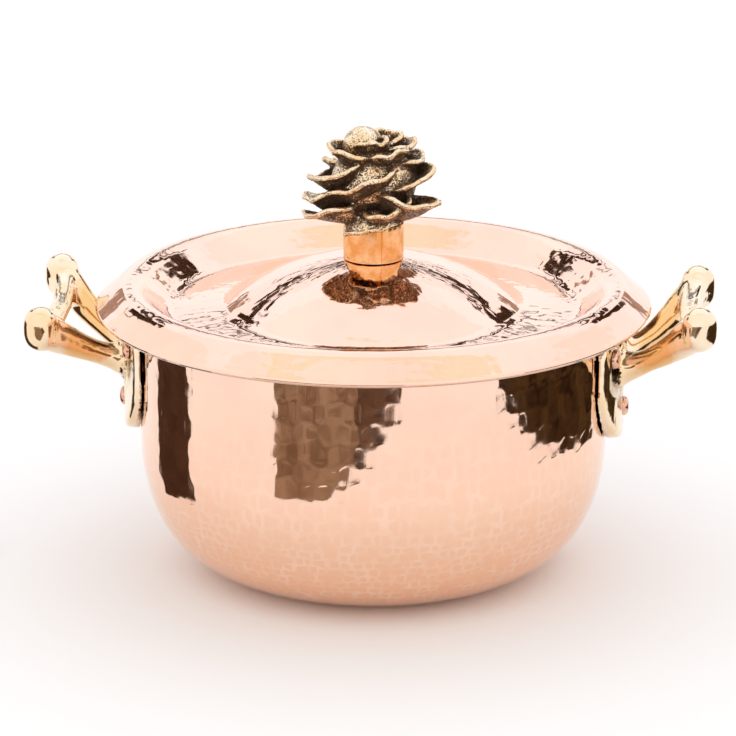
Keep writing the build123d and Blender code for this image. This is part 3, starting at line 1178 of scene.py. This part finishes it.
@dataclass
class Flower:
    """Cast rose: thick cupped petals with rolled rims round a leaning bud, in mm.

    Attributes:
        base: Height of the sleeve's top, on which the flower sits.
        thickness: Thickness of a petal.
        rim: Radius of the bead along a petal's rim.
        root_radius: Distance of the petals' roots from the axis.
        lowest_root: Least height of a root over the sleeve.
        lip: How far a petal's edge rolls down.
        ruffle: Depth of the folds along a rim.
        fold_lift: How far the folds rise, as a share of their depth.
        corner_powers: Powers that round a petal's free corners.
        flare: Power by which a petal spreads from its root.
        curl: Power by which it rises from its root.
        bud_centre: Sideways lean and height of the bud's centre.
        bud_radius: Radius of the bud.
        sleeve_radius: Radius of the flower's foot on the sleeve.
        core: Outline of the solid middle over its foot, as (radius, height).
        core_steps: Steps round the middle.
        cells: Cells of a petal's grid across it and from root to rim.
        voxel: Size of the skin's cells.
        smoothing: Rounds of smoothing.
        lumps: Size, depth and seed of the casting's lumps.
        seed: Seed of the folds.
        rays: Rays that measure how open a place is.
        ray_start: Distance from the skin at which a ray starts.
        ray_reach: Distance at which a ray has got away.
        soften_rounds: Rounds of averaging that give the level from which edges stand out.
        upward_weights: Weight of the rubbing on an upright face, its rise with the normal's upward part,
            and its least, so that faces turned down stay darker.
        open_share: How far an open place is rubbed bright.
        proud_share: How far an edge is rubbed bright, for each mm that it stands out.
    """

    base: float = 181.96
    thickness: float = 2.5
    rim: float = 1.65
    root_radius: float = 6.0
    lowest_root: float = 1.5
    lip: float = 1.0
    ruffle: float = 0.7
    fold_lift: float = 1.3
    corner_powers: Point = (3.2, 0.6)
    flare: float = 0.8
    curl: float = 1.7
    bud_centre: Point = (-5.2, 39.2)
    bud_radius: float = 10.8
    sleeve_radius: float = 15.2
    core: tuple[Point, ...] = (
        (14.0, 3.0), (15.0, 9.0), (21.0, 15.0), (22.5, 22.0), (19.5, 30.0), (12.0, 38.0),
    )
    core_steps: int = 64
    cells: tuple[int, int] = (40, 18)
    voxel: float = 0.62
    smoothing: int = 2
    lumps: tuple[float, float, float] = (3.0, 0.5, 9.0)
    seed: int = 5
    rays: int = 9
    ray_start: float = 0.3
    ray_reach: float = 14.0
    soften_rounds: int = 12
    upward_weights: tuple[float, float, float] = (0.75, 0.6, 0.25)
    open_share: float = 0.85
    proud_share: float = 0.8

    def petal(self, shape: Petal, rng: np.random.Generator) -> bpy.types.Object:
        """Shape one petal from a grid and give it a rolled rim.

        Args:
            shape: The run of its rim.
            rng: Source of the small differences between petals.

        Returns:
            The petal with its rim, joined.
        """
        bpy.ops.object.select_all(action="DESELECT")
        bpy.ops.mesh.primitive_grid_add(x_subdivisions=self.cells[0], y_subdivisions=self.cells[1], size=2)
        piece = bpy.context.object
        grid = vertex_places(piece)
        move_vertices(piece, self.petal_places(shape, grid[:, 0], (grid[:, 1] + 1) / 2, rng) * MM)
        rim = self.rim_bead(piece)
        wall = piece.modifiers.new("wall", "SOLIDIFY")
        wall.thickness = self.thickness * MM
        wall.offset = 0.0
        activate(piece)
        bpy.ops.object.modifier_apply(modifier=wall.name)
        rim.select_set(True)
        bpy.ops.object.join()
        return piece

    def petal_places(
        self, shape: Petal, across: np.ndarray, out: np.ndarray, rng: np.random.Generator,
    ) -> np.ndarray:
        """Lay a petal's grid along the run of its rim.

        Args:
            shape: The run of its rim.
            across: Place of each vertex across the petal, from -1 to 1.
            out: Its place from the root, at 0, to the rim, at 1.
            rng: Source of the folds.

        Returns:
            The vertices' places in mm, as rows.
        """
        left, middle, right = shape.rises
        rise = middle + (right - left) / 2 * across + ((left + right) / 2 - middle) * across ** 2
        sharpness, fullness = self.corner_powers
        rounded_end = (1 - np.abs(across) ** sharpness).clip(0) ** fullness
        reach = self.root_radius + (shape.reach - self.root_radius) * rounded_end
        root = np.maximum(rise - shape.cup, self.lowest_root)
        folds = np.sin(across * rng.uniform(5, 8) + rng.uniform(0, 6)) + 0.6 * np.sin(
            across * rng.uniform(10, 14) + rng.uniform(0, 6)
        )
        radius = self.root_radius + (reach - self.root_radius) * out ** self.flare
        radius += self.ruffle * folds * out ** 3
        height = root + (rise - root) * out ** self.curl - self.lip * np.clip(out * 6 - 5, 0, 1) ** 2
        height += self.fold_lift * self.ruffle * np.roll(folds, 2) * out ** 3
        turn = np.radians(shape.turn + shape.span * across)
        return np.column_stack([radius * np.sin(turn), -radius * np.cos(turn), self.base + height])

    def rim_bead(self, petal: bpy.types.Object) -> bpy.types.Object:
        """Lay a round bead along a petal's free edge.

        Args:
            petal: The petal's open grid.

        Returns:
            The bead.
        """
        activate(petal)
        bpy.ops.object.duplicate()
        bead = bpy.context.object
        rim = len(bead.data.vertices) - self.cells[0] - 1
        bpy.ops.object.mode_set(mode="EDIT")
        bpy.ops.mesh.select_all(action="SELECT")
        bpy.ops.mesh.delete(type="ONLY_FACE")
        bpy.ops.mesh.select_all(action="DESELECT")
        bpy.ops.object.mode_set(mode="OBJECT")
        for vertex in bead.data.vertices:
            vertex.select = vertex.index < rim
        bpy.ops.object.mode_set(mode="EDIT")
        bpy.ops.mesh.delete(type="VERT")
        bpy.ops.object.mode_set(mode="OBJECT")
        bpy.ops.object.convert(target="CURVE")
        bead = bpy.context.object
        bead.data.bevel_depth = self.rim * MM
        bead.data.bevel_resolution = 3
        bead.data.use_fill_caps = True
        bpy.ops.object.convert(target="MESH")
        return bpy.context.object

    def bud(self) -> bpy.types.Object:
        """Make the round bud, which leans to the left of the axis.

        Returns:
            The bud.
        """
        lean, height = self.bud_centre
        bpy.ops.object.select_all(action="DESELECT")
        centre = (lean * MM, 0, (self.base + height) * MM)
        bpy.ops.mesh.primitive_uv_sphere_add(
            segments=48, ring_count=24, radius=self.bud_radius * MM, location=centre,
        )
        bpy.ops.object.transform_apply()
        return bpy.context.object

    def openness(self, piece: bpy.types.Object) -> np.ndarray:
        """Measure how open each place is to a polishing wheel, as the share of rays that get away.

        Args:
            piece: The finished flower.

        Returns:
            The share for each vertex.
        """
        places, normals = vertex_places(piece), vertex_normals(piece)
        tree = BVHTree.FromObject(piece, bpy.context.evaluated_depsgraph_get())
        steps = np.arange(self.rays) + 0.5
        upward = np.sqrt(1 - steps / self.rays)
        turn = steps * math.pi * (3 - math.sqrt(5))
        spokes = np.column_stack([np.cos(turn), np.sin(turn)]) * np.sqrt(1 - upward ** 2)[:, None]
        side = np.cross(normals, np.where(np.abs(normals[:, 2:]) < 0.9, [[0, 0, 1]], [[1, 0, 0]]))
        side /= np.linalg.norm(side, axis=1)[:, None]
        other = np.cross(normals, side)
        starts = places + normals * self.ray_start * MM
        away = np.zeros(len(places))
        limit = self.ray_reach * MM
        for (first, second), lift in zip(spokes, upward):
            rays = side * first + other * second + normals * lift
            away += [tree.ray_cast(start, ray, limit)[0] is None for start, ray in zip(starts, rays)]
        return away / self.rays

    def wear_and_reflection(self, piece: bpy.types.Object) -> None:
        """Store how far each place is rubbed bright: where it is open, faces up and stands out.

        Args:
            piece: The finished flower.
        """
        places, normals = vertex_places(piece) / MM, vertex_normals(piece)
        edges = np.empty(len(piece.data.edges) * 2, int)
        piece.data.edges.foreach_get("vertices", edges)
        edges = edges.reshape(-1, 2)
        soft = list(places.T)
        for _ in range(self.soften_rounds):
            soft = [neighbour_means(axis, edges) for axis in soft]
        proud = ((places - np.column_stack(soft)) * normals).sum(axis=1)
        open_share = neighbour_means(neighbour_means(self.openness(piece), edges), edges)
        upright, slope, least = self.upward_weights
        # Faces turned down keep less of the rubbing and stay darker
        upward_weight = np.clip(upright + slope * normals[:, 2], least, 1)
        store_bare_metal_share(piece, np.clip(self.open_share * open_share * upward_weight + self.proud_share * proud, 0, 1))

    def build(self) -> bpy.types.Object:
        """Cast the core, the bud and the petals as one piece and wear it.

        Returns:
            The flower.
        """
        rng = np.random.default_rng(self.seed)
        outline = [(0.0, 0.0), (self.sleeve_radius, 0.0), *self.core, (0.0, self.core[-1][1])]
        raised = [(radius, self.base + height) for radius, height in outline]
        core = spin_outline("rose_finial", raised, self.core_steps, closed=False)
        parts = [self.petal(shape, rng) for shape in ROSE] + [self.bud()]
        activate(core)
        for part in parts:
            part.select_set(True)
        bpy.ops.object.join()
        remesh(core, self.voxel, self.smoothing)
        add_lumps(core, *self.lumps)
        self.wear_and_reflection(core)
        return core


@dataclass
class Rivets:
    """Three copper rivets of one handle, headed over by hammer, in mm.

    Attributes:
        side: Their side of the pan.
        voxel: Size of their skin's cells.
        smoothing: Rounds of smoothing.
        dents: Size, depth and seed of the hammer's dents.
    """

    side: str
    voxel: float = 0.35
    smoothing: int = 3
    dents: tuple[float, float, float] = (2.4, 0.16, 3.0)

    def build(self) -> bpy.types.Object:
        """Round the rivets' heads and dent them lightly.

        Returns:
            The rivets, as one piece.
        """
        piece = copy_solid(f"{self.side}_handle_rivets", f"hammered_{self.side}_rivets")
        remesh(piece, self.voxel, self.smoothing)
        add_lumps(piece, *self.dents)
        return piece


@dataclass
class Studio:
    """White studio: a pale floor, soft light from all round, and paper that only reflections show.

    Attributes:
        reference: The lid's centre, in metres, which the camera is set by.
        distance: Distance of the camera from it, in metres.
        elevation: Angle of the camera above the horizon, in degrees.
        azimuth: Its angle from the front towards the right, in degrees.
        lens: Its focal length, in mm.
        sensor: Width of its sensor, in mm.
        frame_pixels: Width and height of the photograph.
        reference_pixel: Pixel of the photograph on which the lid's centre lies.
        brightness: Radiance of the light from all round.
        wall: Radius of the pot's wall, which mirrors the sheets on the floor, in metres.
        strip_distance: Distance of the hanging strips from the lid's centre, in metres.
        sheet_cells: Cells along a sheet of paper.
        blot_size: Size of the paper's blots, in mm.
        floor_size: Length and width of the floor, in metres.
    """

    reference: Vector = field(default_factory=lambda: Vector((0, 0, 139.5)) * MM)
    distance: float = 2.047
    elevation: float = 17.35
    azimuth: float = 4.0
    lens: float = 195.65
    sensor: float = 36.0
    frame_pixels: float = 736.0
    reference_pixel: Point = (373.5, 301.6)
    brightness: float = 1.12
    wall: float = 0.12
    strip_distance: float = 1.7
    sheet_cells: int = 24
    blot_size: float = 60.0
    floor_size: float = 8.0

    def camera(self) -> None:
        """Place the camera so that the lid's centre lands on its pixel of the photograph."""
        tilt, swing = math.radians(self.elevation), math.radians(self.azimuth)
        back = Vector((math.sin(swing) * math.cos(tilt), -math.cos(swing) * math.cos(tilt), math.sin(tilt)))
        right = Vector((math.cos(swing), math.sin(swing), 0))
        up = back.cross(right)
        per_pixel = self.distance * self.sensor / self.lens / self.frame_pixels
        sideways = (self.reference_pixel[0] - self.frame_pixels / 2) * per_pixel
        upward = (self.frame_pixels / 2 - self.reference_pixel[1]) * per_pixel
        place = self.reference + back * self.distance - right * sideways - up * upward
        data = bpy.data.cameras.new("camera")
        data.lens = self.lens
        data.sensor_width = self.sensor
        data.clip_end = 20
        view = bpy.data.objects.new("camera", data)
        view.location = place
        view.rotation_euler = (-back).to_track_quat("-Z", "Y").to_euler()
        bpy.context.scene.collection.objects.link(view)
        bpy.context.scene.camera = view

    def world(self) -> None:
        """Light the scene from all round with plain white."""
        world = bpy.data.worlds.new("studio")
        world.use_nodes = True
        background = world.node_tree.nodes["Background"]
        background.inputs["Color"].default_value = linear("fffdfd")
        background.inputs["Strength"].default_value = self.brightness
        bpy.context.scene.world = world
        bpy.context.scene.view_settings.view_transform = "Standard"

    def floor(self) -> None:
        """Lay the pale floor."""
        bpy.ops.object.select_all(action="DESELECT")
        bpy.ops.mesh.primitive_plane_add(size=self.floor_size, location=(0, 0, 0))
        floor = bpy.context.object
        floor.name = "floor"
        paint = bpy.data.materials.new("floor_paint")
        paint.use_nodes = True
        shader = paint.node_tree.nodes["Principled BSDF"]
        shader.inputs["Base Color"].default_value = linear("f9f8f6")
        shader.inputs["Roughness"].default_value = 0.9
        floor.data.materials.append(paint)

    def soft_light(
        self, name: str, place: Sequence[float], size: Point, brightness: float, tone: str,
    ) -> None:
        """Hang a soft light that looks at the pan.

        Args:
            name: The light's name.
            place: Its place, in metres.
            size: Its width and height, in metres.
            brightness: The radiance that it adds to the light from all round.
            tone: Hex colour of its light.
        """
        data = bpy.data.lights.new(name, "AREA")
        data.shape = "RECTANGLE"
        data.size, data.size_y = size
        data.energy = brightness * math.pi * size[0] * size[1]
        data.color = linear(tone)[:3]
        light = bpy.data.objects.new(name, data)
        light.location = place
        light.rotation_euler = (self.reference - Vector(place)).to_track_quat("-Z", "Y").to_euler()
        bpy.context.scene.collection.objects.link(light)

    def paper(self, name: str, tones: tuple[str, str]) -> bpy.types.Object:
        """Cut a sheet of mottled paper that only reflections show.

        Args:
            name: The sheet's name.
            tones: Its two hex colours.

        Returns:
            The sheet, from -1 to 1 along X and Y, to be laid by its vertices.
        """
        bpy.ops.object.select_all(action="DESELECT")
        bpy.ops.mesh.primitive_grid_add(x_subdivisions=self.sheet_cells, y_subdivisions=1, size=2)
        sheet = bpy.context.object
        sheet.name = name
        paint = bpy.data.materials.new(name)
        paint.use_nodes = True
        tree = paint.node_tree
        place = add_node(tree, "ShaderNodeTexCoord").outputs["Object"]
        blots = add_node(tree, "ShaderNodeTexNoise", {
            "Vector": place, "Scale": per_metre(self.blot_size), "Detail": 3.0,
        })
        spread = add_node(tree, "ShaderNodeMapRange", {
            "Value": blots.outputs["Fac"], "From Min": 0.35, "From Max": 0.65,
        })
        mixed = add_node(tree, "ShaderNodeMix", {
            0: spread.outputs["Result"], COLOUR_A: linear(tones[0]), COLOUR_B: linear(tones[1]),
        }, data_type="RGBA")
        shader = tree.nodes["Principled BSDF"]
        tree.links.new(mixed.outputs[COLOUR_RESULT], shader.inputs["Base Color"])
        shader.inputs["Roughness"].default_value = 1.0
        shader.inputs["Specular IOR Level"].default_value = 0.0
        sheet.data.materials.append(paint)
        sheet.visible_camera = False
        sheet.visible_diffuse = False
        sheet.visible_shadow = False
        return sheet

    def warm_panel(
        self, name: str, sides: Point, depths: Point, height: float, tones: tuple[str, str],
    ) -> None:
        """Hang a level panel over the pan, which the lid's flange mirrors in front.

        Args:
            name: The panel's name.
            sides: Its ends along X, in metres.
            depths: Its ends along Y, in metres.
            height: Its height over the floor, in metres.
            tones: Two hex colours, mottled.
        """
        panel = self.paper(name, tones)
        across, out = (vertex_places(panel)[:, :2].T + 1) / 2
        x = sides[0] + across * (sides[1] - sides[0])
        y = depths[0] + out * (depths[1] - depths[0])
        move_vertices(panel, np.column_stack([x, y, np.full_like(x, height)]))

    def floor_sheet(
        self, name: str, sides: Point, nears: Sequence[float], far: float, tones: tuple[str, str],
    ) -> None:
        """Lay a sheet on the floor along the rays that the pot's wall mirrors to the camera.

        Args:
            name: The sheet's name.
            sides: Directions of the wall that mirror its sides, in degrees from the camera to the right.
            nears: Its distance from the wall, evenly spaced from the first side to the second, in metres.
            far: Its far distance from the wall, in metres.
            tones: Two hex colours, mottled.
        """
        sheet = self.paper(name, tones)
        across, out = (vertex_places(sheet)[:, :2].T + 1) / 2
        swing = math.radians(self.azimuth)
        turn = np.radians(sides[0] + across * (sides[1] - sides[0]))
        reach = np.where(out < 0.5, np.interp(across, np.linspace(0, 1, len(nears)), nears), far)
        x = self.wall * np.sin(turn + swing) + reach * np.sin(2 * turn + swing)
        y = -self.wall * np.cos(turn + swing) - reach * np.cos(2 * turn + swing)
        move_vertices(sheet, np.column_stack([x, y, np.full_like(x, MM)]))

    def sky_strip(self, name: str, path: Sequence[Point], width: float, tones: tuple[str, str]) -> None:
        """Hang a strip behind the pan, on a sphere round the lid.

        Args:
            name: The strip's name.
            path: Its middle line as azimuth from behind towards the right and elevation, in degrees.
            width: Its width, in degrees.
            tones: Two hex colours, mottled.
        """
        strip = self.paper(name, tones)
        along, out = (vertex_places(strip)[:, :2].T + 1) / 2
        points = np.array(path, float)
        ahead = np.gradient(points, axis=0)
        stops = np.linspace(0, 1, len(points))
        line = np.column_stack([np.interp(along, stops, axis) for axis in points.T])
        sideways, upwards = (np.interp(along, stops, axis) for axis in ahead.T)
        side = np.column_stack([-upwards, sideways])
        side /= np.hypot(*side.T)[:, None]
        azimuth, elevation = np.radians(line + side * ((out - 0.5) * width)[:, None]).T
        azimuth = azimuth - math.radians(self.azimuth)
        level = np.cos(elevation)
        spokes = np.column_stack([np.sin(azimuth) * level, np.cos(azimuth) * level, np.sin(elevation)])
        move_vertices(strip, spokes * self.strip_distance + np.array(self.reference))

    def build(self) -> None:
        """Set up the whole studio."""
        self.camera()
        self.world()
        self.floor()
        self.soft_light("top_light", (0.0, 0.75, 1.75), (3.0, 1.6), 0.15, "9cc4ff")
        self.soft_light("back_light", (0.0, 2.3, 1.5), (4.2, 2.4), 0.15, "9cc4ff")
        self.warm_panel("warm_panel", (-0.8, 1.0), (-0.34, -0.02), 1.8, ("fdfff6", "f7fbe4"))
        self.floor_sheet("left_sheet", (-66, -51), (0.106, 0.108), 3.0, ("4b362a", "3a2a1e"))
        self.floor_sheet("middle_sheet", (-24.5, -4), (0.19, 0.19, 0.21, 0.265), 2.5, ("9a846e", "6e5744"))
        self.floor_sheet("centre_sheet", (-4, 6), (0.265, 0.32, 0.38), 2.5, ("6b5443", "3a2c20"))
        self.floor_sheet("right_sheet", (31, 68), (0.38, 0.27, 0.25, 0.24), 3.0, ("24170e", "4a3820"))
        ink = ("2a1b12", "4a3628")
        self.sky_strip("left_spot", [(-36, 21), (-49, 36)], 8.5, ink)
        self.sky_strip("right_spot", [(32, 18), (45, 33)], 8.5, ink)
        self.sky_strip("left_haze", [(-33, 7), (-24, 16)], 9.0, ("b59c8c", "9a8070"))
        self.sky_strip("right_haze", [(24, 16), (33, 7)], 6.0, ("b59c8c", "9a8070"))
        # The dashes behind the knob, as the right half of each line, which the left half repeats
        for name, width, half in (
            ("high_line", 3.6, [(7, 24.5), (22, 27.5), (41, 32.7)]),
            ("upper_line", 1.8, [(8, 29.0), (22, 32.0), (40, 37.5)]),
            ("low_line", 1.0, [(20, 19.4)]),
        ):
            mirrored = [(-azimuth, elevation) for azimuth, elevation in half[::-1]]
            self.sky_strip(name, mirrored + half, width, ink)


def dress_kept_nodes() -> None:
    """Give each CAD node that stays in view its own metal."""
    finishes = {
        "pot_lining": WIPED_TIN.material(),
        "finial_screw": STEEL.material(),
    }
    finishes["lid_lining"] = finishes["pot_lining"]
    finishes["finial_washer"] = finishes["finial_screw"]
    for name, material in finishes.items():
        node = bpy.data.objects[name]
        node.data.materials.clear()
        node.data.materials.append(material)


def main() -> None:
    """Build the pan, piece by piece, and its studio."""
    logging.basicConfig(level=logging.INFO, format="%(message)s")
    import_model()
    copper = POLISHED_COPPER.material()
    bronze = CAST_BRONZE.material()
    rivet_copper = RIVET_COPPER.material()
    Studio().build()
    finish_piece(Pot().build(), copper, Body.POT, ["pot_shell"])
    finish_piece(Lid().build(), copper, Body.LID, ["lid_shell"])
    for side, seed in (("right", 1.0), ("left", 6.0)):
        finish_piece(Handle(side, seed).build(), bronze, Body.POT, [f"{side}_handle"])
        rivets = Rivets(side).build()
        finish_piece(rivets, rivet_copper, Body.POT, [f"{side}_handle_rivets"])
    finish_piece(Sleeve().build(), SLEEVE_BRONZE.material(), Body.LID, ["finial_stem"], 40)
    finish_piece(Flower().build(), FLOWER_BRONZE.material(), Body.LID, ["finial_flower"])
    dress_kept_nodes()


if __name__ == "__main__":
    main()
